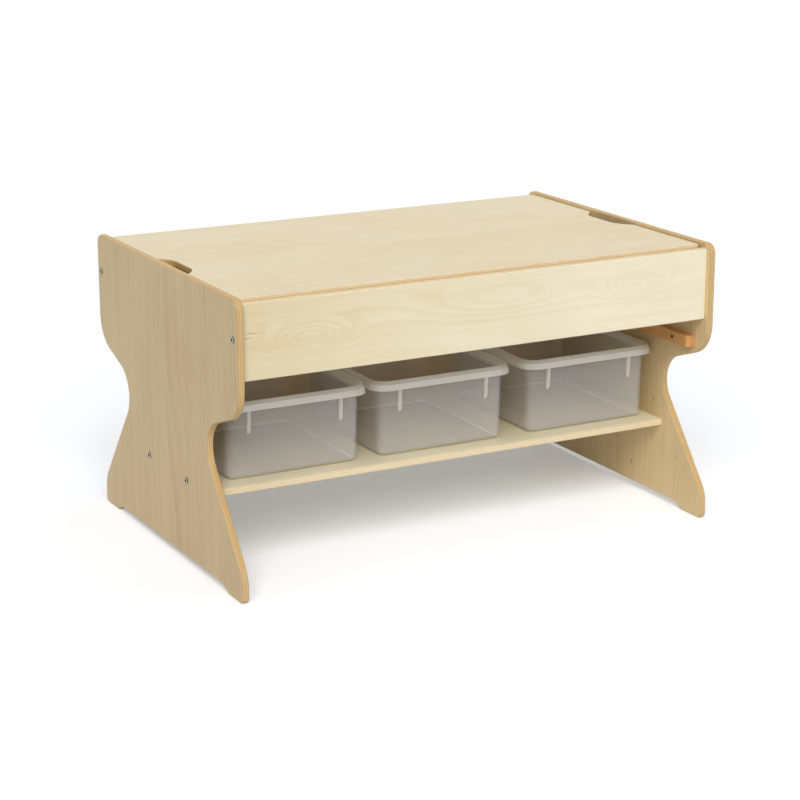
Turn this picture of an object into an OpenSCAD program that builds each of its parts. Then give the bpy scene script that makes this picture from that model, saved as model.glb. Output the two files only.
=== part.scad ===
/* [Table] */
// Width over the two side panels
table_w = 1130; // [1100:1:1200]
// Depth of the side panels, front edge to rear edge
table_d = 750; // [740:1:800]
// Height of the side panels
table_h = 622; // [615:1:650]
// Thickness of the birch plywood panels
ply_t = 15; // [15:1:18]

/* [Side panels] */
// Radius of the top corners
top_r = 24; // [5:1:40]
// Height at which the slope out of the foot would meet the panel's edge
waist_low_z = 57; // [50:1:80]
// Distance from the aprons' bottom edge down to where the shoulder's slope would meet the panel's edge
waist_top_drop = 67; // [60:1:75]
// Distance from the panel's edge to the tip where the two slopes would meet
waist_tip_depth = 203; // [180:1:210]
// Distance from the shoulder's meeting point down to that tip
waist_tip_drop = 70; // [60:1:80]
// Radius of the outward curve above the foot
ankle_r = 65; // [30:1:90]
// Radius of the hollow of the waist
waist_r = 64; // [40:1:80]
// Radius of the outward curve below the aprons
shoulder_r = 75; // [40:1:80]
// Width of each foot's flat underside, from the panel's edge
foot_w = 70; // [50:1:90]
// Height of the panel's bottom edge between the feet
foot_h = 14; // [8:1:20]
// Run of the slope between a foot and that bottom edge
foot_run = 22; // [20:1:40]
// Radius where that slope meets the bottom edge
arch_r = 80; // [40:1:85]
// Radius of a foot's outer bottom corner
toe_r = 12; // [5:1:20]

/* [Aprons and well] */
// Height of the front and rear aprons
apron_h = 157; // [150:1:160]
// Distance from a side panel's edge to the apron's face
apron_inset = 14; // [8:1:20]
// Distance from the side panels' top down to the aprons' top
apron_drop = 11; // [8:1:15]
// Radius on the long edges of aprons, shelf and rails
edge_r = 3; // [1:0.5:4]
// Thickness of the well's floor
floor_t = 12; // [9:1:12]
// Width and height of the square cleats inside the aprons
cleat_s = 18; // [16:1:20]
// Radius on a cleat's long edges
cleat_edge_r = 1; // [0.5:0.5:2]
// Height of the floor cleats above the aprons' bottom edge
cleat_lift = 4; // [2:1:10]

/* [Lid] */
// Distance from the side panels' top down to the lid's top
lid_drop = 5; // [3:1:6]
// Gap between the lid and what surrounds it
lid_gap = 2.5; // [2:0.5:4]
// Radius of the lid's corners
lid_corner_r = 12; // [5:1:30]
// Length of a hand notch's inner edge, between the corners
notch_floor_w = 116; // [90:1:140]
// Length that each sloped side of the notch adds
notch_slope_w = 32; // [28:1:45]
// Depth of the notch
notch_depth = 30; // [28:1:40]
// Radius of the notch's inner corners
notch_in_r = 60; // [20:1:60]
// Radius of the notch's outer corners
notch_out_r = 16; // [5:1:20]

/* [Shelf, back and rails] */
// Gap between the tubs and the back panel
back_gap = 6; // [3:1:12]
// Thickness of the back panel
back_t = 12; // [9:1:15]
// Free height between the back panel and the rails
back_drop = 8; // [4:1:20]
// Height of the slot between the rails and the aprons
slot_h = 43; // [38:1:50]
// Height of a rail
rail_h = 25; // [20:1:30]
// Thickness of a rail
rail_t = 19; // [15:1:20]
// Distance from a side panel's edge to the rail's end
rail_inset = 46; // [44:1:60]
// Radius of a rail's inner corners, seen from above
rail_corner_r = 9; // [4:1:14]

/* [Tubs] */
// Depth of a tub over its rim
tub_d = 390; // [380:1:400]
// Height of a tub
tub_h = 170; // [160:1:185]
// Free height between the tubs and the rails
tub_clearance = 25; // [10:1:40]
// Thickness of a tub's wall
tub_t = 2.2; // [1.8:0.1:2.6]
// Radius of the rim's corners, seen from above
tub_corner_r = 38; // [36:1:45]
// Distance from the rim's outer edge to the wall below it
rim_w = 17; // [14:1:18]
// Height of the rim's skirt, from its bottom edge to the tub's top
rim_h = 20; // [16:1:24]
// Inward slope of a wall over its whole height
tub_taper = 3; // [2:0.5:5]
// Radius between a wall and the bottom
tub_base_r = 12; // [8:1:14]
// Gap between the left side panel and the left tub
left_end_gap = 28; // [3:1:40]
// Gap between the left and middle tubs
left_tub_gap = 9; // [3:1:40]
// Gap between the middle and right tubs
right_tub_gap = 28; // [3:1:40]
// Gap between the right tub and the right side panel
right_end_gap = 3; // [3:1:40]
// Distance from the rim's end to the middle of the nearest rib
rib_inset = 66; // [60:1:90]
// Width of a rib
rib_w = 10; // [8:1:16]
// Length of a rib below the rim
rib_h = 54; // [40:1:70]

/* [Fixings] */
// Diameter of the through bolts
bolt_d = 6; // [5:1:6]
// Length of a bolt's shank
bolt_l = 55; // [50:1:60]
// Diameter of a bolt's head
head_d = 15; // [12:0.5:17]
// Height of a bolt's head
head_h = 2.4; // [2:0.1:3.5]
// Size of the hexagon socket, across its flats
socket_af = 5; // [4:0.5:5]
// Diameter of a barrel nut
nut_d = 10; // [9:0.5:10]
// Length of a barrel nut
nut_l = 11; // [9:0.5:11]
// Length of a bolt that stands out beyond its barrel nut's middle
bolt_tail = 5; // [4:1:8]
// Distance from the aprons' bottom edge up to their bolts
apron_bolt_rise = 86; // [75:1:95]
// Distance from the shelf's edge to its nearest bolt
shelf_bolt_inset = 114; // [90:1:130]
// Diameter of the dowels
dowel_d = 8; // [6:1:8]
// Length of the dowels
dowel_l = 30; // [24:1:32]
// Length of a dowel that is in the side panel
dowel_in_panel = 10; // [8:1:11]
// Distance of each apron dowel above and below the bolt
dowel_offset = 45; // [40:1:55]
// Diameter of the wood screws
screw_d = 4; // [3.5:0.5:4]
// Diameter of a wood screw's countersunk head
screw_head_d = 8; // [7:0.5:8]
// Depth that a wood screw through a cleat or rail goes into the board behind
screw_bite = 11; // [9:1:12]
// Depth that a floor screw goes into its cleat
floor_screw_bite = 12; // [9:1:14]
// Distance from a rail's end to its nearest screw
rail_screw_inset = 57; // [30:1:80]
// Distance from a long cleat's end to its nearest screw
cleat_screw_inset = 70; // [50:1:90]
// Depth that a screw through the shelf goes into the back panel
back_screw_bite = 24; // [18:1:30]
// Distance from the back panel's end to its nearest screw
back_screw_inset = 60; // [40:1:90]
// Distance from the back panel's top down to its dowels
back_dowel_drop = 40; // [30:1:60]

/* [Hidden] */
$fn = 48;

ply = [0.86, 0.78, 0.62];
solid_wood = [0.72, 0.48, 0.28];
frosted = [0.86, 0.88, 0.90, 0.55];
steel = [0.70, 0.70, 0.72];
dark_steel = [0.25, 0.23, 0.21];

// places that several pieces share
slack = 0.1;            // free space round a fixing in its hole
past = 1;               // how far a cutting shape runs past a face
inner_w = table_w - 2 * ply_t;
apron_top = table_h - apron_drop;
apron_bottom = apron_top - apron_h;
apron_face_y = table_d / 2 - apron_inset;
apron_mid_y = apron_face_y - ply_t / 2;
well_d = 2 * (apron_face_y - ply_t);
lid_top = table_h - lid_drop;
lid_under = lid_top - ply_t;
floor_cleat_z = apron_bottom + cleat_lift;
floor_z = floor_cleat_z + cleat_s;
rail_z = apron_bottom - slot_h - rail_h;
rail_l = table_d - 2 * rail_inset;
shelf_top = rail_z - tub_clearance - tub_h;
shelf_mid_z = shelf_top - ply_t / 2;
shelf_d = tub_d + 2 * (back_gap + back_t + edge_r);
back_y = tub_d / 2 + back_gap;              // the back panel's face behind the tubs
back_mid_y = back_y + back_t / 2;
back_top = rail_z - back_drop;
tub_w = (inner_w - left_end_gap - left_tub_gap - right_tub_gap - right_end_gap) / 3;
left_tub_x = left_end_gap + (tub_w - inner_w) / 2;
middle_tub_x = left_tub_x + tub_w + left_tub_gap;
right_tub_x = middle_tub_x + tub_w + right_tub_gap;
waist_top_z = apron_bottom - waist_top_drop;
apron_bolt_z = apron_bottom + apron_bolt_rise;
shelf_bolt_y = shelf_d / 2 - shelf_bolt_inset;
nut_reach = bolt_l - ply_t - bolt_tail;     // from a board's end to its barrel nut
rail_screw_y = rail_l / 2 - rail_screw_inset;
rail_screw_l = rail_t + screw_bite;
cleat_screw_x = inner_w / 2 - cleat_screw_inset;
cleat_screw_l = cleat_s + screw_bite;
floor_screw_l = floor_t + floor_screw_bite;
back_screw_x = inner_w / 2 - back_screw_inset;
back_screw_l = ply_t + back_screw_bite;
countersink_h = (screw_head_d - screw_d) / 2;

// Outlines: a list of corners [x, y, radius], each turned into an arc.
function unit(v) = v / norm(v);
function xy(p) = [p.x, p.y];
function arc_count(sweep, r) = max(2, ceil(abs(sweep) / (r < 10 ? 18 : 5)));
function arc(centre, r, from, sweep) =
    let (n = arc_count(sweep, r))
    [for (i = [0:n]) centre + r * [cos(from + sweep * i / n), sin(from + sweep * i / n)]];
function rounded_corner(before, at, after, r) =
    let (
        u = unit(before - at),
        v = unit(after - at),
        half = acos(u * v) / 2,
        centre = at + unit(u + v) * r / sin(half),
        start = at + u * r / tan(half) - centre,
        end = at + v * r / tan(half) - centre,
        from = atan2(start.y, start.x),
        turn = atan2(end.y, end.x) - from,
        sweep = turn > 180 ? turn - 360 : turn < -180 ? turn + 360 : turn
    )
    arc(centre, r, from, sweep);
function rounded(corners) =
    let (n = len(corners))
    [
        for (i = [0:n - 1])
            let (
                before = xy(corners[(i + n - 1) % n]),
                at = xy(corners[i]),
                after = xy(corners[(i + 1) % n]),
                r = corners[i].z
            )
            each r == 0 ? [at] : rounded_corner(before, at, after, r)
    ];
function rectangle(w, h, r) = [[0, 0, r], [w, 0, r], [w, h, r], [0, h, r]];
function mirrored(corners) = [for (i = [len(corners) - 1:-1:0]) [-corners[i].x, corners[i].y, corners[i].z]];

// Side panel: one edge from the floor to the top, as distance from the panel's
// edge and height. The other edge mirrors it.
panel_edge = [
    [foot_w + foot_run, foot_h, arch_r],
    [foot_w, 0, 0],
    [0, 0, toe_r],
    [0, waist_low_z, ankle_r],
    [waist_tip_depth, waist_top_z - waist_tip_drop, waist_r],
    [0, waist_top_z, shoulder_r],
    [0, table_h, top_r]
];
front_edge = [for (p = panel_edge) [p.x - table_d / 2, p.y, p.z]];
panel_outline = rounded(concat(front_edge, mirrored(front_edge)));

// A board that runs from side panel to side panel: an outline in Y and Z, drawn along X.
module along_x(length) {
    translate([-length / 2, 0, 0])
        rotate([90, 0, 90])
            linear_extrude(length)
                children();
}

// The same for a strip that runs front to back: an outline in X and Z, drawn along Y.
module along_y(length) {
    translate([0, length / 2, 0])
        rotate([90, 0, 0])
            linear_extrude(length)
                children();
}

// A cylinder from a point along an axis, given as the rotation that tips +Z over.
module rod(at, tip, d, l) {
    translate(at)
        rotate(tip)
            cylinder(d = d, h = l);
}
to_left = [0, -90, 0];
to_right = [0, 90, 0];
to_front = [90, 0, 0];
to_rear = [-90, 0, 0];

// Copies for both ends of the table, or for front and rear.
module both_ends() {
    children();
    mirror([1, 0, 0]) children();
}
module front_and_rear() {
    children();
    mirror([0, 1, 0]) children();
}

// Right-hand end of the front apron: bolt, barrel nut and dowels, and their holes.
module apron_bolt_line(d, l) {
    rod([table_w / 2, -apron_mid_y, apron_bolt_z], to_left, d, l);
}
module apron_dowel_pair(extra) {
    for (side = [-1, 1])
        rod(
            [inner_w / 2 + dowel_in_panel + extra, -apron_mid_y, apron_bolt_z + side * dowel_offset],
            to_left, dowel_d + extra, dowel_l + 2 * extra
        );
}
module apron_nut_hole() {
    rod(
        [inner_w / 2 - nut_reach, -apron_mid_y - nut_l / 2 - slack, apron_bolt_z],
        to_rear, nut_d + 2 * slack, nut_l + ply_t
    );
}

// Right-hand end of the shelf, front half.
module shelf_bolt_line(d, l) {
    rod([table_w / 2, -shelf_bolt_y, shelf_mid_z], to_left, d, l);
}
module shelf_dowel(extra) {
    rod(
        [inner_w / 2 + dowel_in_panel + extra, 0, shelf_mid_z],
        to_left, dowel_d + extra, dowel_l + 2 * extra
    );
}
module shelf_nut_hole() {
    rod(
        [inner_w / 2 - nut_reach, -shelf_bolt_y, shelf_mid_z + nut_l / 2 + slack],
        [180, 0, 0], nut_d + 2 * slack, nut_l + ply_t
    );
}

// The dowel between the back panel's right-hand end and the side panel.
module back_dowel(extra) {
    rod(
        [inner_w / 2 + dowel_in_panel + extra, back_mid_y, back_top - back_dowel_drop],
        to_left, dowel_d + extra, dowel_l + 2 * extra
    );
}

// A bolt with a wide low head, its underside at the origin, shank down -Z.
module bolt() {
    edge_h = head_h / 3;
    socket_depth = head_h * 0.75;
    difference() {
        union() {
            cylinder(d = head_d, h = edge_h);
            translate([0, 0, edge_h])
                cylinder(d1 = head_d, d2 = head_d * 0.8, h = head_h - edge_h);
        }
        translate([0, 0, head_h - socket_depth])
            cylinder(d = socket_af / cos(30), h = socket_depth + past, $fn = 6);
    }
    translate([0, 0, -bolt_l])
        cylinder(d = bolt_d, h = bolt_l);
}

// A barrel nut lying along Z, its thread through the middle along X.
module barrel_nut() {
    slot_depth = 1.2;
    difference() {
        translate([0, 0, -nut_l / 2])
            cylinder(d = nut_d, h = nut_l);
        rod([-nut_d, 0, 0], to_right, bolt_d + slack, 2 * nut_d);
        translate([-nut_d / 2 - past, -slot_depth / 2, nut_l / 2 - slot_depth])
            cube([nut_d + 2 * past, slot_depth, slot_depth + past]);
    }
}

// A countersunk wood screw, head flush at the origin, point down -Z.
// "extra" widens it into the hole that it sits in.
module screw(length, extra) {
    tip_h = screw_d;
    recess_d = screw_d * 0.6;
    difference() {
        union() {
            translate([0, 0, -countersink_h - extra])
                cylinder(d1 = screw_d + extra, d2 = screw_head_d + extra, h = countersink_h + extra);
            translate([0, 0, tip_h - length])
                cylinder(d = screw_d + extra, h = length - tip_h - countersink_h / 2);
            translate([0, 0, -length - extra])
                cylinder(d1 = screw_d / 4 + extra, d2 = screw_d + extra, h = tip_h + extra);
        }
        if (extra == 0)
            translate([0, 0, -recess_d])
                cylinder(d = recess_d, h = recess_d + past, $fn = 6);
    }
}

// Where the wood screws go. Each place holds children drawn as screw() draws them.
module rail_screw_places() {
    both_ends()
        for (y = [-rail_screw_y, 0, rail_screw_y])
            translate([inner_w / 2 - rail_t, y, rail_z + rail_h / 2])
                rotate(to_left)
                    children();
}
module long_cleat_screw_places(z) {
    front_and_rear()
        for (i = [0:3])
            translate([cleat_screw_x * (2 * i / 3 - 1), cleat_s - well_d / 2, z + cleat_s / 2])
                rotate(to_rear)
                    children();
}
module end_cleat_screw_places() {
    both_ends()
        for (y = [-well_d / 4, well_d / 4])
            translate([inner_w / 2 - cleat_s, y, floor_cleat_z + cleat_s / 2])
                rotate(to_left)
                    children();
}
module well_floor_screw_places() {
    front_and_rear()
        for (i = [0:2])
            translate([cleat_screw_x * (i - 1) * 2 / 3, cleat_s / 2 - well_d / 2, floor_z + floor_t])
                children();
}
module back_screw_places() {
    for (i = [0:3])
        translate([back_screw_x * (2 * i / 3 - 1), back_mid_y, shelf_top - ply_t])
            rotate([180, 0, 0])
                children();
}

// The right-hand side panel. The left-hand one mirrors it.
module side_panel() {
    difference() {
        translate([inner_w / 2, 0, 0])
            rotate([90, 0, 90])
                linear_extrude(ply_t)
                    polygon(panel_outline);
        front_and_rear() {
            translate([past, 0, 0]) apron_bolt_line(bolt_d + slack, ply_t + 2 * past);
            translate([past, 0, 0]) shelf_bolt_line(bolt_d + slack, ply_t + 2 * past);
            apron_dowel_pair(slack);
        }
        shelf_dowel(slack);
        back_dowel(slack);
        rail_screw_places() screw(rail_screw_l, slack);
        end_cleat_screw_places() screw(cleat_screw_l, slack);
    }
}
module right_side_panel() {
    color(ply) side_panel();
}
module left_side_panel() {
    color(ply) mirror([1, 0, 0]) side_panel();
}

module apron() {
    difference() {
        translate([0, -apron_face_y, apron_bottom])
            along_x(inner_w)
                polygon(rounded(rectangle(ply_t, apron_h, edge_r)));
        both_ends() {
            apron_bolt_line(bolt_d + 3 * slack, bolt_l + past);
            apron_nut_hole();
            apron_dowel_pair(slack);
        }
        long_cleat_screw_places(lid_under - cleat_s) screw(cleat_screw_l, slack);
        long_cleat_screw_places(floor_cleat_z) screw(cleat_screw_l, slack);
    }
}
module front_apron() {
    color(ply) apron();
}
module rear_apron() {
    color(ply) mirror([0, 1, 0]) apron();
}

module well_floor() {
    color(ply)
        difference() {
            translate([-inner_w / 2, -well_d / 2, floor_z])
                cube([inner_w, well_d, floor_t]);
            well_floor_screw_places() screw(floor_screw_l, slack);
        }
}

// A cleat along an apron's inner face.
module long_cleat(z) {
    translate([0, -well_d / 2, z])
        along_x(inner_w)
            polygon(rounded(rectangle(cleat_s, cleat_s, cleat_edge_r)));
}
module floor_cleat() {
    difference() {
        long_cleat(floor_cleat_z);
        long_cleat_screw_places(floor_cleat_z) screw(cleat_screw_l, slack);
        well_floor_screw_places() screw(floor_screw_l, slack);
    }
}
module front_floor_cleat() {
    color(solid_wood) floor_cleat();
}
module rear_floor_cleat() {
    color(solid_wood) mirror([0, 1, 0]) floor_cleat();
}
module end_floor_cleat() {
    difference() {
        translate([inner_w / 2 - cleat_s, 0, floor_cleat_z])
            along_y(well_d - 2 * cleat_s)
                polygon(rounded(rectangle(cleat_s, cleat_s, cleat_edge_r)));
        end_cleat_screw_places() screw(cleat_screw_l, slack);
    }
}
module right_floor_cleat() {
    color(solid_wood) end_floor_cleat();
}
module left_floor_cleat() {
    color(solid_wood) mirror([1, 0, 0]) end_floor_cleat();
}
module lid_cleat() {
    difference() {
        long_cleat(lid_under - cleat_s);
        long_cleat_screw_places(lid_under - cleat_s) screw(cleat_screw_l, slack);
    }
}
module front_lid_cleat() {
    color(solid_wood) lid_cleat();
}
module rear_lid_cleat() {
    color(solid_wood) mirror([0, 1, 0]) lid_cleat();
}

module shelf() {
    color(ply)
        difference() {
            translate([0, -shelf_d / 2, shelf_top - ply_t])
                along_x(inner_w)
                    polygon(rounded(rectangle(shelf_d, ply_t, edge_r)));
            both_ends() {
                front_and_rear() {
                    shelf_bolt_line(bolt_d + 3 * slack, bolt_l + past);
                    shelf_nut_hole();
                }
                shelf_dowel(slack);
            }
            back_screw_places() screw(back_screw_l, slack);
        }
}

// The back panel stands on the shelf behind the tubs, its top edges rounded over.
module back_panel() {
    color(ply)
        difference() {
            translate([0, back_y, shelf_top])
                along_x(inner_w)
                    polygon(rounded([
                        [0, 0, 0],
                        [back_t, 0, 0],
                        [back_t, back_top - shelf_top, edge_r],
                        [0, back_top - shelf_top, edge_r]
                    ]));
            both_ends() back_dowel(slack);
            back_screw_places() screw(back_screw_l, slack);
        }
}

// A rail on a side panel's inner face. Its two inner corners are rounded, seen from above.
module rail() {
    difference() {
        translate([inner_w / 2 - rail_t, -rail_l / 2, rail_z])
            linear_extrude(rail_h)
                polygon(rounded([
                    [0, 0, rail_corner_r],
                    [rail_t, 0, 0],
                    [rail_t, rail_l, 0],
                    [0, rail_l, rail_corner_r]
                ]));
        rail_screw_places() screw(rail_screw_l, slack);
    }
}
module right_rail() {
    color(solid_wood) rail();
}
module left_rail() {
    color(solid_wood) mirror([1, 0, 0]) rail();
}

// The lid lies inside the aprons and side panels, on the lid cleats.
lid_x = inner_w / 2 - lid_gap;
lid_y = well_d / 2 - lid_gap;
right_end = [
    [lid_x, -lid_y, lid_corner_r],
    [lid_x, -notch_floor_w / 2 - notch_slope_w, notch_out_r],
    [lid_x - notch_depth, -notch_floor_w / 2, notch_in_r],
    [lid_x - notch_depth, notch_floor_w / 2, notch_in_r],
    [lid_x, notch_floor_w / 2 + notch_slope_w, notch_out_r],
    [lid_x, lid_y, lid_corner_r]
];
module lid() {
    color(ply)
        translate([0, 0, lid_under])
            linear_extrude(ply_t)
                polygon(rounded(concat(right_end, mirrored(right_end))));
}

// Tub: rings of points, each a rounded rectangle at an inset from the rim's
// outer edge and a height. They run up the outside, over the rim and down the inside.
tub_curve = [
    for (a = [0:15:90])
        [rim_w + tub_taper + tub_base_r * (1 - sin(a)), tub_base_r * (1 - cos(a))]
];
crest_in = 9;
crest_out = 7.5;
ridge_in = 2.5;
ridge_drop = 8;
ridge_ease = 2;
flare_drop = 13;
tub_section = concat(
    tub_curve,
    [
        [rim_w, tub_h - flare_drop - tub_t],
        [crest_out, tub_h - tub_t],
        [ridge_in + tub_t, tub_h - ridge_drop - tub_t],
        [tub_t, tub_h - rim_h],
        [0, tub_h - rim_h],
        [ridge_in / 2, tub_h - ridge_drop - ridge_ease],
        [ridge_in, tub_h - ridge_drop],
        [crest_out, tub_h],
        [crest_in, tub_h],
        [rim_w + tub_t, tub_h - flare_drop]
    ],
    [for (i = [len(tub_curve) - 1:-1:0]) tub_curve[i] + [tub_t, tub_t]]
);
ring_steps = 8;
least_corner_r = 2;
function ring_corner(inset, z, side) =
    let (
        r = max(least_corner_r, tub_corner_r - inset),
        turn = side * 90,
        sx = (side == 0 || side == 3) ? 1 : -1,
        sy = side < 2 ? 1 : -1
    )
    [
        for (i = [0:ring_steps])
            [
                sx * (tub_w / 2 - inset - r) + r * cos(turn + 90 * i / ring_steps),
                sy * (tub_d / 2 - inset - r) + r * sin(turn + 90 * i / ring_steps),
                z
            ]
    ];
function ring(inset, z) = [for (side = [0:3]) each ring_corner(inset, z, side)];
ring_n = 4 * (ring_steps + 1);
module tub_shell() {
    rings = len(tub_section);
    polyhedron(
        points = [for (s = tub_section) each ring(s.x, s.y)],
        faces = concat(
            [[for (k = [0:ring_n - 1]) k]],
            [
                for (j = [0:rings - 2])
                    for (k = [0:ring_n - 1])
                        let (next = (k + 1) % ring_n)
                        each [
                            [j * ring_n + k, (j + 1) * ring_n + k, (j + 1) * ring_n + next],
                            [j * ring_n + k, (j + 1) * ring_n + next, j * ring_n + next]
                        ]
            ],
            [[for (k = [ring_n - 1:-1:0]) (rings - 1) * ring_n + k]]
        )
    );
}
// A rib between the front wall and the rim's skirt, tapering into the wall below.
module tub_rib() {
    wall_y = rim_w - tub_d / 2;
    top_z = tub_h - flare_drop - tub_t;
    skirt_z = tub_h - rim_h;
    rotate([90, 0, 90])
        translate([0, 0, -rib_w / 2])
            linear_extrude(rib_w)
                polygon([
                    [wall_y + tub_t / 2, top_z],
                    [wall_y - rim_w / 2, top_z],
                    [wall_y - rim_w / 2, skirt_z],
                    [wall_y - rim_w / 4, skirt_z - rib_h + rim_w / 4],
                    [wall_y + tub_t / 2, skirt_z - rib_h]
                ]);
}
module tub(x) {
    color(frosted)
        translate([x, 0, shelf_top]) {
            tub_shell();
            front_and_rear()
                for (side = [-1, 1])
                    translate([side * (tub_w / 2 - rib_inset), 0, 0])
                        tub_rib();
        }
}
module left_tub() {
    tub(left_tub_x);
}
module middle_tub() {
    tub(middle_tub_x);
}
module right_tub() {
    tub(right_tub_x);
}

module apron_bolts() {
    color(steel)
        both_ends()
            front_and_rear()
                translate([table_w / 2, -apron_mid_y, apron_bolt_z])
                    rotate(to_right)
                        bolt();
}
module apron_barrel_nuts() {
    color(steel)
        both_ends()
            front_and_rear()
                translate([inner_w / 2 - nut_reach, -apron_mid_y, apron_bolt_z])
                    rotate(to_rear)
                        barrel_nut();
}
module shelf_bolts() {
    color(steel)
        both_ends()
            front_and_rear()
                translate([table_w / 2, -shelf_bolt_y, shelf_mid_z])
                    rotate(to_right)
                        bolt();
}
module shelf_barrel_nuts() {
    color(steel)
        both_ends()
            front_and_rear()
                translate([inner_w / 2 - nut_reach, -shelf_bolt_y, shelf_mid_z])
                    rotate([180, 0, 0])
                        barrel_nut();
}
module apron_dowels() {
    color(solid_wood)
        both_ends()
            front_and_rear()
                apron_dowel_pair(0);
}
module shelf_dowels() {
    color(solid_wood)
        both_ends()
            shelf_dowel(0);
}
module back_dowels() {
    color(solid_wood)
        both_ends()
            back_dowel(0);
}
module rail_screws() {
    color(dark_steel) rail_screw_places() screw(rail_screw_l, 0);
}
module lid_cleat_screws() {
    color(steel) long_cleat_screw_places(lid_under - cleat_s) screw(cleat_screw_l, 0);
}
module floor_cleat_screws() {
    color(steel) {
        long_cleat_screw_places(floor_cleat_z) screw(cleat_screw_l, 0);
        end_cleat_screw_places() screw(cleat_screw_l, 0);
    }
}
module well_floor_screws() {
    color(steel) well_floor_screw_places() screw(floor_screw_l, 0);
}
module back_screws() {
    color(steel) back_screw_places() screw(back_screw_l, 0);
}

left_side_panel();
right_side_panel();
front_apron();
rear_apron();
well_floor();
front_floor_cleat();
rear_floor_cleat();
left_floor_cleat();
right_floor_cleat();
front_lid_cleat();
rear_lid_cleat();
shelf();
back_panel();
left_rail();
right_rail();
lid();
left_tub();
middle_tub();
right_tub();
apron_bolts();
apron_barrel_nuts();
shelf_bolts();
shelf_barrel_nuts();
apron_dowels();
shelf_dowels();
back_dowels();
rail_screws();
lid_cleat_screws();
floor_cleat_screws();
well_floor_screws();
back_screws();
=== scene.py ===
import math

import bmesh
import bpy
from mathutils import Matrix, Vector


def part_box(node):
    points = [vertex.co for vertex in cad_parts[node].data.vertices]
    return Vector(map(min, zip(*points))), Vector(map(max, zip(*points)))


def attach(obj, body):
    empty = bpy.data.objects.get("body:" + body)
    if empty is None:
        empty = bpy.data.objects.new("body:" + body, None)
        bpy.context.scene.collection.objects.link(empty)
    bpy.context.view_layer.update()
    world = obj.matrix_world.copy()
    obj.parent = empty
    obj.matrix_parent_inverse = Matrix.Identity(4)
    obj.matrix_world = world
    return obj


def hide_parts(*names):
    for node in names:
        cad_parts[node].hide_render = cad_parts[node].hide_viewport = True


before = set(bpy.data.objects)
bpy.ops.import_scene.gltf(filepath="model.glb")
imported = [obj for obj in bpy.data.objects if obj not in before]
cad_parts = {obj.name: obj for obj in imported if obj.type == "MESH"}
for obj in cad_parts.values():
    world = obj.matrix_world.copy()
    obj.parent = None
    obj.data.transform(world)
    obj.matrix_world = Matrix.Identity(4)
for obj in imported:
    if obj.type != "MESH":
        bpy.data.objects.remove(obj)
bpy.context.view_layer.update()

# Side panels: two 15 mm boards of nine-ply birch, cut on a router to the waisted
# outline, the outline's edges rounded over, then sanded and lacquered satin.
# Bolts through them hold the aprons and the shelf.
X, Y, Z = 0, 1, 2
ROUND_OVER = 0.003
SAME_POINT = 1e-5
CREASE = math.radians(30)


class Wire:
    """An output of a material's node. Arithmetic on wires adds Math nodes."""

    def __init__(self, socket):
        self.socket = socket

    def node(self, kind, settings=None, sockets=None, output=0):
        """A new node in this wire's tree: its type, its settings, then its sockets."""
        tree = self.socket.id_data
        made = tree.nodes.new("ShaderNode" + kind)
        for name, value in (settings or {}).items():
            setattr(made, name, value)
        for key, value in (sockets or {}).items():
            if isinstance(value, Wire):
                tree.links.new(value.socket, made.inputs[key])
            else:
                made.inputs[key].default_value = value
        return Wire(made.outputs[output])

    def out(self, name):
        return Wire(self.socket.node.outputs[name])

    def maths(self, operation, *values):
        return self.node("Math", {"operation": operation}, dict(enumerate(values)))

    def __add__(self, other):
        return self.maths("ADD", self, other)

    def __radd__(self, other):
        return self.maths("ADD", other, self)

    def __sub__(self, other):
        return self.maths("SUBTRACT", self, other)

    def __rsub__(self, other):
        return self.maths("SUBTRACT", other, self)

    def __mul__(self, other):
        return self.maths("MULTIPLY", self, other)

    def __rmul__(self, other):
        return self.maths("MULTIPLY", other, self)

    def __truediv__(self, other):
        return self.maths("DIVIDE", self, other)

    def __lt__(self, other):
        return self.maths("LESS_THAN", self, other)

    def __gt__(self, other):
        return self.maths("GREATER_THAN", self, other)

    def __abs__(self):
        return self.maths("ABSOLUTE", self)

    def rise(self, start, end):
        """0 up to start, 1 from end on, and smooth between them."""
        return self.node(
            "MapRange",
            {"interpolation_type": "SMOOTHSTEP"},
            {"Value": self, "From Min": start, "From Max": end},
        )

    def pick(self, dark, light):
        """The first colour where this wire is 0, the second where it is 1."""
        return self.node("Mix", {"data_type": "RGBA"}, {0: self, 6: dark, 7: light}, 2)

    def grain(self, u, v, w, scale, detail=2.0, roughness=0.5):
        """Noise over three lengths in metres, each with its own scale per metre."""
        stretched = self.node(
            "CombineXYZ", {}, {0: u * scale[0], 1: v * scale[1], 2: w * scale[2]}
        )
        return self.node(
            "TexNoise",
            {},
            {"Vector": stretched, "Scale": 1.0, "Detail": detail, "Roughness": roughness},
        )


def paint(red, green, blue):
    """A colour as it reads on a screen, 0 to 255, turned to scene light."""
    return tuple(
        (c / 255 / 12.92 if c < 10.3 else ((c / 255 + 0.055) / 1.055) ** 2.4)
        for c in (red, green, blue)
    ) + (1.0,)


def new_finish(name):
    """A material, its shader, and a wire to a point's place on its piece."""
    material = bpy.data.materials.new(name)
    material.use_nodes = True
    shader = material.node_tree.nodes["Principled BSDF"]
    place = Wire(shader.outputs[0]).node("TexCoord", output="Object")
    return material, shader, place


def plug(shader, **sockets):
    """Sets the shader's sockets, by link or by value."""
    for name, value in sockets.items():
        socket = shader.inputs[name.replace("_", " ")]
        if isinstance(value, Wire):
            socket.id_data.links.new(value.socket, socket)
        else:
            socket.default_value = value


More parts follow.
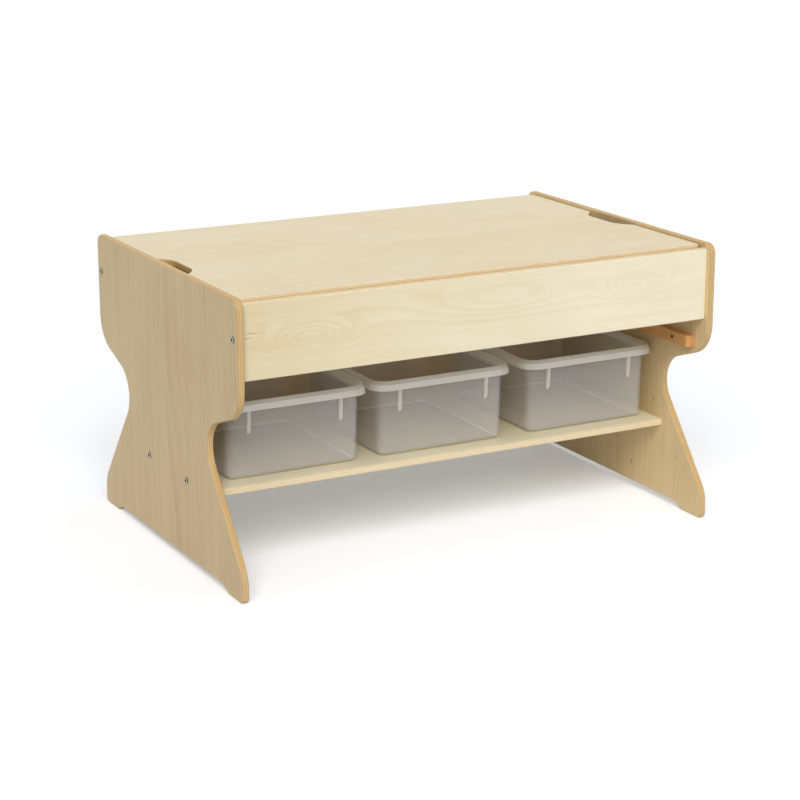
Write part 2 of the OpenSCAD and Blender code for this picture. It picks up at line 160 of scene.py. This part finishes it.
def plywood(node, name, grain, figure, faces, edges, loops=(), knots=(), painted_light_slope=0.0):
    """Plywood for one board. grain: the axis that its face veneers run along.
    figure: how many growth rings cross a metre, how much they wander, how many
    flames a metre holds, and how strong rings and stripes are. loops: places where
    the rings close on themselves. knots: small brown eyes, as place and size.
    painted_light_slope: painted light, how much paler the face gets along its grain,
    for a board lit more strongly at one end."""
    low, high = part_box(node)
    spans = high - low
    through = min((X, Y, Z), key=lambda axis: spans[axis])
    across = ({X, Y, Z} - {grain, through}).pop()
    thick = spans[through]
    material, shader, place = new_finish(name)
    split = place.node("SeparateXYZ", {}, {0: place})
    at = [split.out(axis) for axis in "XYZ"]
    facing = place.node("SeparateXYZ", {}, {0: place.out("Normal")})
    turned = [abs(facing.out(axis)) for axis in "XYZ"]
    u, v, w = at[grain], at[across], at[through] - low[through]

    # plies: a thin sanded face veneer, then seven inner ones, every other turned
    inner_plies = 7
    face_ply = 0.0010
    ply = (thick - 2 * face_ply) / inner_plies
    waver = 0.0003 * place.grain(at[X], at[Y], at[Z], (9, 9, 9)) - 0.00015
    depth = w.maths("MINIMUM", w, thick - w) + waver
    count = (depth - face_ply) / ply
    turned_ply = (count.maths("FRACT", count / 2) < 0.5) * (count > 0)
    end_grain = turned[grain] + turned_ply * (turned[across] - turned[grain])
    seam = count.maths("PINGPONG", count, 0.5) * ply
    cut_side = 1 - turned[through].rise(0.6, 0.9)
    glue = (1 - seam.rise(0.0001, 0.00035)) * cut_side
    pores = place.grain(at[X], at[Y], at[Z], (1400, 1400, 1400), 1.0)
    streaks = place.grain(at[X], at[Y], at[Z], (45, 45, 500), 3.0)
    gaps = place.grain(at[X], at[Y], at[Z], (18, 18, 40), 0.0).rise(0.84, 0.85)
    edge_tone = end_grain.rise(0.25, 0.9) * (0.75 + 0.5 * pores) + 0.3 * streaks - 0.15
    edge = (glue * 0.7).pick(edge_tone.pick(edges[0], edges[1]), edges[2])
    border = 1 - abs(depth - face_ply).rise(0.0001, 0.0005)
    edge = (border * cut_side * 0.9).pick(edge, edges[2])
    # Faces that cut across the face veneers' grain, such as the lid's ends and hand
    # notches and the panels' tops, are painted a deeper golden brown.
    ends = turned[grain].rise(0.55, 0.95)
    edge = (0.7 * ends).pick(edge, END_FACE_GOLD)
    # Ply voids: real gaps in the turned core plies, painted dark for the shade inside
    # them.
    edge = (gaps * turned_ply * (1 - turned[through])).pick(edge, SHADED_VOID)

    # face veneer: growth rings as the level lines of a slow, stretched wander
    per_metre, wander, flame, ringed, striped = figure
    field = v + wander * place.grain(u, v, w, (flame, flame * 3, 1), 1.0, 0.4)
    field = field + 0.005 * place.grain(u, v, w, (6, 18, 1), 2.0)
    field = field + 0.3 / per_metre * place.grain(u, v, w, (30, 70, 1), 2.0)
    shown = 0.2 + place.grain(u, v, w, (1.6, 12, 1)).rise(0.45, 0.75)
    for loop_u, loop_v, half_u, half_v, lift in loops:
        du = (u - loop_u) / half_u
        dv = (v - loop_v) / half_v
        away = du * du + dv * dv
        field = field + lift * away.maths("EXPONENT", 0 - away)
        shown = shown + 0.8 * away.maths("EXPONENT", -0.35 * away)
    ring = field.maths("FRACT", field * per_metre)
    line = ring.rise(0.25, 0.8) * (1 - ring.rise(0.84, 1.0)) * shown
    bands = place.grain(u, v, w, (0.7, 30, 1), 2.0)
    stripes = place.grain(u, v, w, (1.6, 170, 1), 3.0)
    fibres = place.grain(u, v, w, (26, 900, 40), 2.0)
    clouds = place.grain(u, v, w, (3, 6, 1), 2.0)
    tone = 0.35 + ringed * (line - 0.35) + striped * (bands + stripes - 1)
    tone = tone + 0.22 * (fibres - 0.5) + 0.8 * (clouds - 0.5)
    # painted light: a slope of tone along the grain, set by painted_light_slope
    tone = tone + painted_light_slope * (u - (low[grain] + high[grain]) / 2) / spans[grain]
    flecks = 0.45 * place.grain(u, v, w, (70, 850, 1), 1.0).rise(0.70, 0.78)
    for knot_u, knot_v, half_u, half_v in knots:
        du = (u - knot_u) / half_u
        dv = (v - knot_v) / half_v
        flecks = flecks + flecks.maths("EXPONENT", 0 - du * du - dv * dv)
    face = flecks.pick(tone.pick(faces[0], faces[1]), faces[2])

    skin = turned[through].rise(0.72, 0.97)
    gloss = 0.42 + 0.1 * fibres + 0.1 * (1 - skin) * edge_tone
    relief = (fibres * 0.5 + line * 0.3) * skin + (1 - skin) * (0.8 * edge_tone - glue)
    bump = place.node(
        "Bump", {}, {"Strength": 0.25, "Distance": 0.0002, "Height": relief}
    )
    plug(
        shader,
        Base_Color=skin.pick(edge, face),
        Roughness=gloss,
        Normal=bump,
        Coat_Weight=0.3 - 0.2 * skin,
        Coat_Roughness=0.14,
        Specular_IOR_Level=0.35,
    )
    return material


def eased_board(node, name, radius):
    """A board's solid with its outline's two edges rounded over, as a new piece."""
    mesh = bmesh.new()
    mesh.from_mesh(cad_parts[node].data)
    bmesh.ops.remove_doubles(mesh, verts=mesh.verts, dist=SAME_POINT)
    flat = math.radians(1)
    bmesh.ops.dissolve_limit(mesh, angle_limit=flat, verts=mesh.verts, edges=mesh.edges)
    left = {
        edge
        for edge in mesh.edges
        if len(edge.link_faces) == 2 and edge.calc_face_angle() > 1
    }
    loops = []
    while left:
        loop, reach = set(), [left.pop()]
        while reach:
            edge = reach.pop()
            loop.add(edge)
            near = {e for vert in edge.verts for e in vert.link_edges} & left
            left -= near
            reach.extend(near)
        loops.append(loop)

    def length(loop):
        return sum(edge.calc_length() for edge in loop)

    outline = [edge for loop in sorted(loops, key=length)[-2:] for edge in loop]
    bmesh.ops.bevel(
        mesh,
        geom=outline,
        offset=radius,
        offset_type="OFFSET",
        segments=4,
        profile=0.5,
        affect="EDGES",
        clamp_overlap=False,
    )
    data = bpy.data.meshes.new(name)
    mesh.to_mesh(data)
    mesh.free()
    data.shade_smooth()
    data.set_sharp_from_angle(angle=CREASE)
    piece = bpy.data.objects.new(name, data)
    bpy.context.scene.collection.objects.link(piece)
    piece.modifiers.new("flat faces", "WEIGHTED_NORMAL").keep_sharp = True
    return piece


SHADED_VOID = paint(74, 46, 24)
END_FACE_GOLD = paint(196, 154, 80)
# Painted shade: the left board's face colours are darker than the right board's, standing
# in for the shade on the left panel's outer face.
panel_faces_left_shaded = {
    "left_side_panel": (paint(203, 179, 135), paint(179, 150, 102), paint(134, 98, 56)),
    "right_side_panel": (paint(219, 194, 148), paint(197, 169, 120), paint(146, 102, 58)),
}
panel_edges = paint(216, 190, 138), paint(190, 154, 96), paint(140, 96, 48)
panel_knots = {
    "left_side_panel": (
        (0.516, 0.123, 0.0050, 0.0012),
        (0.597, -0.037, 0.0030, 0.0010),
        (0.423, 0.046, 0.0030, 0.0010),
        (0.469, -0.109, 0.0050, 0.0010),
    ),
    "right_side_panel": (
        (0.2325, -0.184, 0.0045, 0.0020),
        (0.0604, -0.103, 0.0050, 0.0022),
        (0.118, -0.275, 0.0030, 0.0012),
    ),
}
for node, name in (
    ("left_side_panel", "left_panel_board"),
    ("right_side_panel", "right_panel_board"),
):
    board = eased_board(node, name, ROUND_OVER)
    board.data.materials.clear()
    board.data.materials.append(
        plywood(
            node,
            name + "_birch",
            Z,
            (48, 0.35, 0.8, 0.45, 0.5),
            panel_faces_left_shaded[node],
            panel_edges,
            knots=panel_knots[node],
        )
    )
    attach(board, "table")
    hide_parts(node)

# Aprons: two birch plywood boards on edge, the long edges rounded over, each held
# between the side panels by two bolts and four dowels. The front one shows the
# veneer's loops and flames.
softening = bpy.data.node_groups.new("crisp_corners", "GeometryNodeTree")
for way in ("INPUT", "OUTPUT"):
    softening.interface.new_socket("Solid", in_out=way, socket_type="NodeSocketGeometry")
steps = [
    softening.nodes.new(kind)
    for kind in (
        "NodeGroupInput",
        "GeometryNodeMergeByDistance",
        "GeometryNodeRemoveAttribute",
        "GeometryNodeSetShadeSmooth",
        "GeometryNodeSetShadeSmooth",
        "NodeGroupOutput",
    )
]
for before, after in zip(steps, steps[1:]):
    softening.links.new(before.outputs[0], after.inputs[0])
steps[1].inputs["Distance"].default_value = SAME_POINT
steps[2].inputs["Name"].default_value = "custom_normal"
steps[4].domain = "EDGE"
corner = softening.nodes.new("FunctionNodeCompare")
corner.operation = "LESS_THAN"
corner.inputs[1].default_value = CREASE
fold = softening.nodes.new("GeometryNodeInputMeshEdgeAngle")
softening.links.new(fold.outputs[0], corner.inputs[0])
softening.links.new(corner.outputs[0], steps[4].inputs["Shade Smooth"])


def finish_node(node, material):
    """Gives a solid its material and smooth curves, with crisp corners."""
    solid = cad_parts[node]
    solid.data.materials.clear()
    solid.data.materials.append(material)
    solid.modifiers.new("crisp corners", "NODES").node_group = softening
    solid.modifiers.new("flat faces", "WEIGHTED_NORMAL").keep_sharp = True


apron_faces = paint(231, 222, 195), paint(209, 192, 151), paint(172, 128, 80)
# The aprons' edge colours are paler than the other boards': partly the plies' own pale
# tone, partly painted highlight for the light on the aprons' rounded top edges.
lit_apron_edges = paint(242, 230, 198), paint(228, 208, 164), paint(160, 108, 46)
apron_loops = {
    "front_apron": (
        (-0.402, 0.528, 0.085, 0.027, 0.17),
        (0.366, 0.551, 0.070, 0.020, 0.16),
        (0.030, 0.556, 0.160, 0.032, 0.08),
    ),
    "rear_apron": (
        (-0.180, 0.540, 0.090, 0.022, 0.17),
        (0.42, 0.52, 0.06, 0.02, 0.12),
    ),
}
apron_knots = (-0.528, 0.550, 0.014, 0.0008), (-0.538, 0.541, 0.010, 0.0008)
for node, loops in apron_loops.items():
    finish_node(
        node,
        plywood(
            node,
            node + "_birch",
            X,
            (30, 0.25, 0.7, 0.15, 0.3),
            apron_faces,
            lit_apron_edges,
            loops,
            apron_knots,
            # painted light: the aprons' faces are painted paler towards their right ends,
            # where more light falls
            painted_light_slope=-0.8,
        ),
    )

# The well under the lid: a birch plywood floor screwed down onto four solid beech
# cleats, and two more cleats along the aprons' tops that the lid rests on.
floor_figure = (60, 0.25, 0.8, 0.5, 0.5)
finish_node(
    "well_floor",
    plywood(
        "well_floor", "well_floor_birch", X, floor_figure, apron_faces, panel_edges
    ),
)


def beech(name, grain, colours, shine=0.42):
    """Solid beech: straight grain along one axis, with short dark ray flecks."""
    material, shader, place = new_finish(name)
    split = place.node("SeparateXYZ", {}, {0: place})
    at = [split.out(axis) for axis in "XYZ"]
    facing = place.node("SeparateXYZ", {}, {0: place.out("Normal")})
    end = abs(facing.out("XYZ"[grain])).rise(0.6, 0.95)
    sides = [at[axis] for axis in (X, Y, Z) if axis != grain]
    along = at[grain]
    bands = place.grain(along, sides[0], sides[1], (1.5, 90, 110), 3.0)
    fibres = place.grain(along, sides[0], sides[1], (30, 1100, 1100), 2.0)
    flecks = place.grain(along, sides[0], sides[1], (160, 900, 900), 1.0)
    flecks = flecks.rise(0.64, 0.74)
    tone = bands.rise(0.3, 0.75) * 0.7 + 0.5 * (fibres - 0.5) + end * 0.35
    plain = tone.pick(colours[0], colours[1])
    colour = (flecks * 0.5 * (1 - end)).pick(plain, colours[2])
    relief = fibres + flecks * -0.4
    bump = place.node(
        "Bump", {}, {"Strength": 0.3, "Distance": 0.0002, "Height": relief}
    )
    plug(
        shader,
        Base_Color=colour,
        Roughness=shine + 0.12 * fibres + 0.12 * end,
        Normal=bump,
        Coat_Weight=0.12,
        Coat_Roughness=0.25,
    )
    return material


cleat_colours = paint(214, 178, 128), paint(192, 150, 98), paint(150, 106, 62)
cleat_along_x = beech("cleat_beech_lengthwise", X, cleat_colours)
cleat_along_y = beech("cleat_beech_crosswise", Y, cleat_colours)
for node in (
    "front_floor_cleat",
    "rear_floor_cleat",
    "front_lid_cleat",
    "rear_lid_cleat",
):
    finish_node(node, cleat_along_x)
for node in ("left_floor_cleat", "right_floor_cleat"):
    finish_node(node, cleat_along_y)

# Lid: a loose birch plywood board that drops in between the aprons, with rounded
# corners and a hand notch at each end. It lifts straight up.
lid_faces = paint(229, 215, 181), paint(212, 191, 148), paint(172, 132, 88)
lid_edges = paint(238, 222, 184), paint(222, 196, 146), paint(146, 92, 34)
lid = eased_board("lid", "lid_board", ROUND_OVER)
lid.data.materials.clear()
lid.data.materials.append(
    plywood("lid", "lid_birch", X, (70, 0.2, 0.6, 0.25, 0.4), lid_faces, lid_edges)
)
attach(lid, "lid")
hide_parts("lid")

# Shelf: a birch plywood board bolted and dowelled between the side panels, its
# long edges rounded over so that the plies show as stripes.
shelf_faces = paint(236, 228, 201), paint(219, 205, 167), paint(172, 130, 82)
shelf_edges = paint(238, 223, 190), paint(224, 204, 164), paint(194, 162, 112)
shelf_figure = (60, 0.3, 0.8, 0.5, 0.5)
finish_node(
    "shelf",
    plywood("shelf", "shelf_birch", X, shelf_figure, shelf_faces, shelf_edges),
)

# Back panel: a thinner, browner plywood board that stands on the shelf behind the
# tubs, screwed from under the shelf and dowelled to the side panels.
back_faces = paint(238, 200, 156), paint(220, 172, 122), paint(164, 112, 66)
finish_node(
    "back_panel",
    plywood("back_panel", "back_ply", X, shelf_figure, back_faces, panel_edges),
)

# Rails: beech strips screwed to the side panels' inner faces above the tubs, their
# inner corners rounded. They may hold the lid when it is put away.
rail_colours = paint(212, 158, 96), paint(188, 130, 68), paint(120, 74, 36)
rail_wood = beech("rail_beech", Y, rail_colours, 0.36)
for node in ("left_rail", "right_rail"):
    finish_node(node, rail_wood)

# Tubs: three deep bins, injection moulded in one piece from frosted polypropylene,
# with a rolled rim all round and two ribs under it at the front and the rear. They
# stand loose on the shelf and slide out to the front.
def fillet(corners, steps=4):
    """An open outline of (x, z, radius) corners, each corner turned into an arc."""
    line = [Vector(corners[0][:2])]
    for before, at, after in zip(corners, corners[1:], corners[2:]):
        here = Vector(at[:2])
        back = (Vector(before[:2]) - here).normalized()
        on = (Vector(after[:2]) - here).normalized()
        half = back.angle(on) / 2
        run = at[2] / math.tan(half)
        for step in range(steps + 1):
            t = step / steps
            line.append(
                here + back * run * (1 - t) ** 2 + on * run * t**2 if at[2] else here
            )
            if not at[2]:
                break
    line.append(Vector(corners[-1][:2]))
    return line


low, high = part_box("left_tub")
tub_w, tub_d = (high - low).xy
rim_corner, least_corner = 0.038, 0.004
outside = fillet(
    [
        (0.080, 0.0012, 0),
        (0.036, 0.0012, 0.0008),
        (0.034, 0.0, 0.001),
        (0.0204, 0.0, 0.012),
        (0.0172, 0.1530, 0.002),
        (0.0070, 0.1632, 0.003),
        (0.0042, 0.1600, 0.002),
        (0.0022, 0.1512, 0.0004),
        (0.0021, 0.1500, 0.0008),
        (0.0, 0.1500, 0.0009),
        (0.0022, 0.1632, 0.003),
        (0.0066, 0.1700, 0.003),
        (0.0100, 0.1700, 0.002),
        (0.0194, 0.1606, 0.005),
        (0.0226, 0.0022, 0.011),
        (0.080, 0.0030, 0),
    ]
)
WALLS, RIM, EDGES = 0, 1, 2
tub_mesh = bmesh.new()
corner_steps = 10
rings = []
for inset, height in outside:
    radius = max(least_corner, rim_corner - inset * 0.85)
    ring = []
    for side_x, side_y, turn in ((1, 1, 0), (-1, 1, 90), (-1, -1, 180), (1, -1, 270)):
        centre_x = side_x * (tub_w / 2 - inset - radius)
        centre_y = side_y * (tub_d / 2 - inset - radius)
        for step in range(corner_steps + 1):
            angle = math.radians(turn + 90 * step / corner_steps)
            ring.append(
                tub_mesh.verts.new(
                    (
                        centre_x + radius * math.cos(angle),
                        centre_y + radius * math.sin(angle),
                        height,
                    )
                )
            )
    rings.append(ring)
base_foot, base_top, base_inset = 0.0005, 0.004, 0.033
lip_foot, lip_top, crest = 0.1495, 0.1508, 0.1697
for ring, above, point in zip(rings, rings[1:], outside):
    middle = (ring[0].co.z + above[0].co.z) / 2
    in_base_edge = base_foot < middle < base_top and point.x < base_inset
    in_crest_or_lip = middle > crest or lip_foot < middle < lip_top
    for k in range(len(ring)):
        n = (k + 1) % len(ring)
        strip = tub_mesh.faces.new((ring[k], ring[n], above[n], above[k]))
        # The crest, the skirt's lip and the base edge get a whiter, more opaque plastic
        # than the rim: partly the thicker moulding there, partly painted highlight lines
        # along them.
        if in_crest_or_lip or in_base_edge:
            strip.material_index = EDGES
        elif middle > lip_foot:
            strip.material_index = RIM
tub_mesh.faces.new(rings[0][::-1])
tub_mesh.faces.new(rings[-1])

# ribs: half-round gussets under the rim that run out into the wall
rib_half, rib_reach, rib_top, rib_foot = 0.0050, 0.0075, 0.158, 0.097
rib_from_end, rib_sunk, rib_tip = 0.066, 0.0004, 0.16
rib_steps, rib_sides = 12, 8
wall_inset, wall_draft, wall_top = 0.0172, 0.0032, 0.153
for side in (-1, 1):
    for front in (-1, 1):
        sections = []
        for step in range(rib_steps + 1):
            t = step / rib_steps
            height = rib_top + (rib_foot - rib_top) * t
            draft = wall_draft * (wall_top - height) / wall_top
            wall = tub_d / 2 - wall_inset - draft - rib_sunk
            past_tip = max(0.0, (t - (1 - rib_tip)) / rib_tip)
            close = math.sqrt(max(0.0, 1 - past_tip**2))
            proud = rib_reach * (1 - 0.55 * t) * close
            half = rib_half * (0.35 + 0.65 * close)
            section = []
            for k in range(rib_sides + 1):
                a = math.pi * k / rib_sides
                shape = abs(math.sin(a)) ** 0.6
                section.append(
                    tub_mesh.verts.new(
                        (
                            side * (tub_w / 2 - rib_from_end) - half * math.cos(a),
                            front * (wall + proud * shape),
                            height,
                        )
                    )
                )
            sections.append(section)
        for one, two in zip(sections, sections[1:]):
            for k in range(rib_sides):
                skin = tub_mesh.faces.new((one[k], one[k + 1], two[k + 1], two[k]))
                skin.material_index = RIM
        tub_mesh.faces.new(sections[-1]).material_index = RIM
bmesh.ops.recalc_face_normals(tub_mesh, faces=tub_mesh.faces)
tub_data = bpy.data.meshes.new("tub_moulding")
tub_mesh.to_mesh(tub_data)
tub_mesh.free()
tub_data.shade_smooth()
tub_data.set_sharp_from_angle(angle=math.radians(50))


def frosted(name, tint, opacity, shine, polish):
    """Milky polypropylene: a faint cloudiness and the fine stipple of its mould."""
    material, shader, place = new_finish(name)
    cloud = place.node("TexNoise", {}, {"Vector": place, "Scale": 9.0, "Detail": 3.0})
    stipple = place.node("TexNoise", {}, {"Vector": place, "Scale": 900.0, "Detail": 1.0})
    plug(
        shader,
        Base_Color=(0.3 * cloud).pick(paint(*tint), paint(*(0.93 * c for c in tint))),
        Roughness=shine + 0.12 * cloud,
        Coat_Weight=polish,
        Coat_Roughness=0.06,
        Normal=place.node(
            "Bump", {}, {"Strength": 0.2, "Distance": 0.0001, "Height": stipple}
        ),
        IOR=1.49,
        Alpha=opacity,
    )
    return material


for name, tint, opacity, shine, polish in (
    ("frosted_wall", (246, 243, 236), 0.21, 0.24, 0.3),
    ("frosted_rim", (252, 249, 240), 0.56, 0.08, 1.0),
    # whiter and more opaque than the rim, for painted highlight lines
    ("frosted_glint_edges", (254, 252, 247), 0.68, 0.08, 1.0),
):
    tub_data.materials.append(frosted(name, tint, opacity, shine, polish))
for body in ("left_tub", "middle_tub", "right_tub"):
    low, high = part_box(body)
    tub = bpy.data.objects.new(body + "_moulding", tub_data)
    tub.location = ((low.x + high.x) / 2, (low.y + high.y) / 2, low.z)
    bpy.context.scene.collection.objects.link(tub)
    tub.modifiers.new("flat faces", "WEIGHTED_NORMAL").keep_sharp = True
    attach(tub, body)
    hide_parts(body)

# Bolts and barrel nuts: zinc-plated steel, turned. The bolts' wide low heads with
# their hexagon sockets show on the outside of the side panels.
SOCKET_SHADE = 0.0031, 0.0037
HEAD_RIM_SHADOW = 0.0064, 0.0073


def zinc(name, colour, rough, heads=None):
    """Plated steel with a soft mottle. heads: a bolts' node, whose sockets get painted
    shade and whose heads get a painted shadow ring at their edge.
    """
    material, shader, place = new_finish(name)
    mottle = place.node("TexNoise", {}, {"Vector": place, "Scale": 260.0, "Detail": 3.0})
    fine = place.node("TexNoise", {}, {"Vector": place, "Scale": 2600.0, "Detail": 2.0})
    dull = paint(*(0.72 * c for c in colour))
    tint = mottle.rise(0.3, 0.75).pick(paint(*colour), dull)
    if heads:
        low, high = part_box(heads)
        half = (high.z - low.z) / 2
        split = place.node("SeparateXYZ", {}, {0: place})
        y = abs(split.out("Y")) - (high.y - half)
        z = split.out("Z") - (low.z + half)
        from_axis = y.maths("SQRT", y * y + z * z)
        # painted shade: the hexagon sockets are painted near black, and a darker ring
        # round each head's edge is a painted shadow
        tint = from_axis.rise(*SOCKET_SHADE).pick(paint(26, 23, 20), tint)
        tint = from_axis.rise(*HEAD_RIM_SHADOW).pick(tint, paint(96, 92, 84))
    plug(
        shader,
        Base_Color=tint,
        Metallic=1.0,
        Roughness=rough + 0.18 * mottle,
        Normal=place.node(
            "Bump", {}, {"Strength": 0.15, "Distance": 0.00005, "Height": fine}
        ),
    )
    return material


for node in ("apron_bolts", "shelf_bolts"):
    finish_node(node, zinc(node + "_zinc", (182, 180, 171), 0.22, node))
bright_zinc = zinc("bright_zinc", (206, 208, 210), 0.22)
for node in ("apron_barrel_nuts", "shelf_barrel_nuts"):
    finish_node(node, bright_zinc)

# Dowels: fluted beech pins, glued into the boards' ends.
dowel_beech = beech("dowel_beech", X, cleat_colours)
for node in ("apron_dowels", "shelf_dowels", "back_dowels"):
    finish_node(node, dowel_beech)

# Wood screws: countersunk, dark ones in the rails and bright ones everywhere else.
for node in (
    "lid_cleat_screws",
    "floor_cleat_screws",
    "well_floor_screws",
    "back_screws",
):
    finish_node(node, bright_zinc)
finish_node("rail_screws", zinc("dark_oxide", (62, 56, 52), 0.35))

# The studio: a plain pale floor, white to the eye where it is lit, an even pale
# surround, and two broad soft lamps: a key at the front left and a weak one overhead
# that leans to the right.
FLOOR_REACH = 60
FLOOR_GLOW = 0.22
SURROUND = 0.2


def seen_rays(wire):
    """1 for rays that reach the eye straight, by a gloss or through a clear wall."""
    path = wire.node("LightPath")
    seen = path.maths("MAXIMUM", path, path.out("Is Glossy Ray"))
    return path.maths("MAXIMUM", seen, path.out("Is Transmission Ray"))


floor_mesh = bmesh.new()
bmesh.ops.create_grid(floor_mesh, x_segments=1, y_segments=1, size=FLOOR_REACH)
floor_data = bpy.data.meshes.new("studio_floor")
floor_mesh.to_mesh(floor_data)
floor_mesh.free()
floor = bpy.data.objects.new("studio_floor", floor_data)
bpy.context.scene.collection.objects.link(floor)
pale, shader, place = new_finish("pale_floor")
plug(shader, Base_Color=paint(234, 236, 240), Roughness=0.9, Specular_IOR_Level=0.1)
glow = place.node(
    "Emission",
    {},
    {"Color": (1, 1, 1, 1), "Strength": FLOOR_GLOW * seen_rays(place)},
)
lit = place.node("AddShader", {}, {0: Wire(shader.outputs[0]), 1: glow})
pale.node_tree.links.new(
    lit.socket, pale.node_tree.nodes["Material Output"].inputs["Surface"]
)
floor_data.materials.append(pale)

world = bpy.data.worlds.new("surround")
bpy.context.scene.world = world
world.use_nodes = True
backdrop = world.node_tree.nodes["Background"]
backdrop.inputs["Color"].default_value = (1, 1, 1, 1)
brightness = SURROUND + (1 - SURROUND) * seen_rays(Wire(backdrop.outputs[0]))
world.node_tree.links.new(brightness.socket, backdrop.inputs["Strength"])


def broad_lamp(name, round_to_right, height, spread, strength):
    """A distant lamp: how far round from the front, how high and how wide, in degrees."""
    lamp = bpy.data.lights.new(name, "SUN")
    lamp.angle = math.radians(spread)
    lamp.energy = strength * math.pi
    stand = bpy.data.objects.new(name, lamp)
    tilt, turn = math.radians(90 - height), math.radians(round_to_right)
    stand.rotation_euler = (tilt, 0, turn)
    bpy.context.scene.collection.objects.link(stand)


broad_lamp("key_lamp", -28, 42, 40, 0.87)
broad_lamp("top_lamp", 65, 76, 40, 0.17)

view = bpy.data.cameras.new("photo_view")
view.sensor_width = 36
view.lens = 96.78
camera = bpy.data.objects.new("photo_view", view)
camera.location = (-2.196, -4.051, 1.557)
looks_down, looks_right = 15.77, 28.39
tilt, turn = math.radians(90 - looks_down), math.radians(-looks_right)
camera.rotation_euler = (tilt, 0, turn)
bpy.context.scene.collection.objects.link(camera)
bpy.context.scene.camera = camera
bpy.context.scene.view_settings.view_transform = "Standard"
